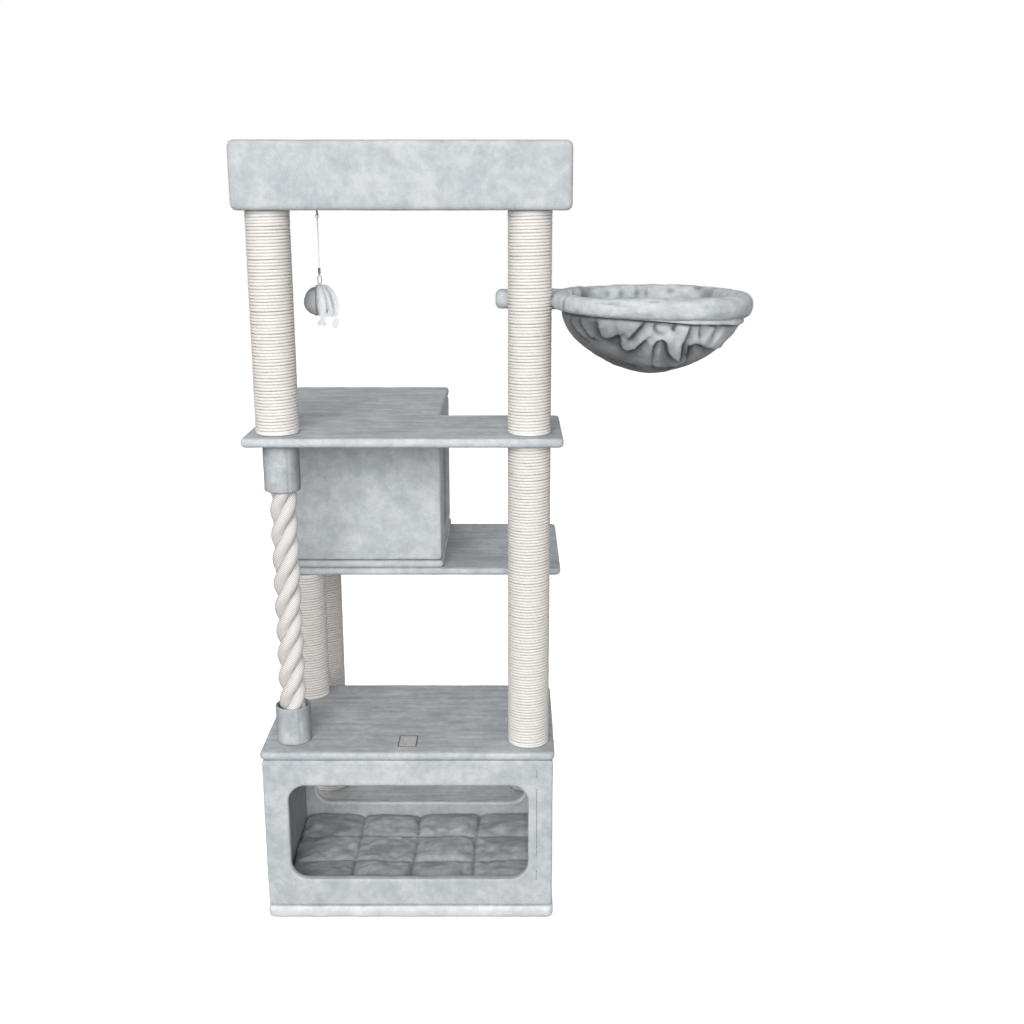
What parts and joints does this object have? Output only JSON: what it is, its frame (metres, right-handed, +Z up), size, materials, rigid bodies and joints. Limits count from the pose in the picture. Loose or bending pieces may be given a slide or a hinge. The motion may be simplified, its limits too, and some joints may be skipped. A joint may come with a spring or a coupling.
{
  "type": "cat tree",
  "caption": "Tall cat tree with a cushioned base box, sisal posts, climbing rope, house, bridge shelf, walled top bed, side hammock and a hanging feather toy.",
  "frame": {"origin": "centre of the base board's underside, on the floor", "axes": "+Z up, -Y towards the front, where the box's wide opening and the hammock's side face the viewer, +X to the viewer's right"},
  "size_m": [1.024, 0.8035, 1.661],
  "materials": {
    "plush_board": "matte",
    "plush_cushion": "matte",
    "plush_soft": "matte",
    "patch": "matte",
    "sisal": "matte",
    "cotton_rope": "matte",
    "cardboard_core": "matte",
    "pine": "matte",
    "zinc_steel": "satin",
    "frame_steel": "satin",
    "toy_metal": "polished",
    "toy_cord": "matte",
    "toy_plush": "matte",
    "feather": "matte"
  },
  "bodies": {
    "frame": {"base_board": "plush_board", "base_front_panel": "plush_board", "base_back_panel": "plush_board", "base_left_panel": "plush_board", "base_right_panel": "plush_board", "base_top_board": "plush_board", "care_patch": "patch", "lower_shelf": "plush_board", "bridge_shelf": "plush_board", "house_floor": "plush_board", "house_front_panel": "plush_board", "house_back_panel": "plush_board", "house_left_panel": "plush_board", "house_right_panel": "plush_board", "core_lower_right": "cardboard_core", "core_upper_right": "cardboard_core", "core_upper_left": "cardboard_core", "core_middle_left": "cardboard_core", "core_middle_right": "cardboard_core", "core_rear_left": "cardboard_core", "core_rear_right": "cardboard_core", "sisal_lower_right": "sisal", "sisal_upper_right": "sisal", "sisal_upper_left": "sisal", "sisal_middle_left": "sisal", "sisal_middle_right": "sisal", "sisal_rear_left": "sisal", "sisal_rear_right": "sisal", "post_end_discs": "pine", "board_bolts": "zinc_steel", "post_studs": "zinc_steel", "panel_screws": "zinc_steel", "climbing_rope": "cotton_rope", "rope_sleeve_lower": "plush_soft", "rope_sleeve_upper": "plush_soft", "rope_end_blocks": "pine", "tray_floor": "plush_board", "tray_front_wall": "plush_board", "tray_back_wall": "plush_board", "tray_left_wall": "plush_board", "tray_right_wall": "plush_board", "hammock_arm": "frame_steel", "hammock_arm_cover": "plush_soft", "hammock_hoop": "frame_steel", "hammock_rim": "plush_soft", "hammock_bowl": "plush_soft", "hammock_bolts": "zinc_steel", "toy_eye": "toy_metal"},
    "base_cushion": {"base_cushion": "plush_cushion"},
    "tray_cushion": {"tray_cushion": "plush_cushion"},
    "toy_link": {"toy_link": "toy_metal"},
    "toy_string": {"toy_knot": "toy_cord", "toy_cord": "toy_cord", "toy_swivel": "toy_metal"},
    "toy_lure": {"toy_clasp": "toy_metal", "toy_ball": "toy_plush", "toy_feathers": "feather"}
  },
  "joints": [
    {"name": "base_cushion_lift", "type": "slide", "parent": "frame", "child": "base_cushion", "axis": [0, 0, 1], "range_m": [0, 0.18]},
    {"name": "tray_cushion_lift", "type": "slide", "parent": "frame", "child": "tray_cushion", "axis": [0, 0, 1], "range_m": [0, 0.25]},
    {"name": "toy_swing_side", "type": "hinge", "parent": "frame", "child": "toy_link", "pos_m": [-0.172, -0.18, 1.518], "axis": [0, 1, 0], "range_deg": [-60, 60]},
    {"name": "toy_swing_front", "type": "hinge", "parent": "toy_link", "child": "toy_string", "pos_m": [-0.172, -0.18, 1.5136], "axis": [1, 0, 0], "range_deg": [-60, 60]},
    {"name": "toy_spin", "type": "hinge", "parent": "toy_string", "child": "toy_lure", "pos_m": [-0.172, -0.18, 1.4], "axis": [0, 0, 1], "continuous": true}
  ]
}
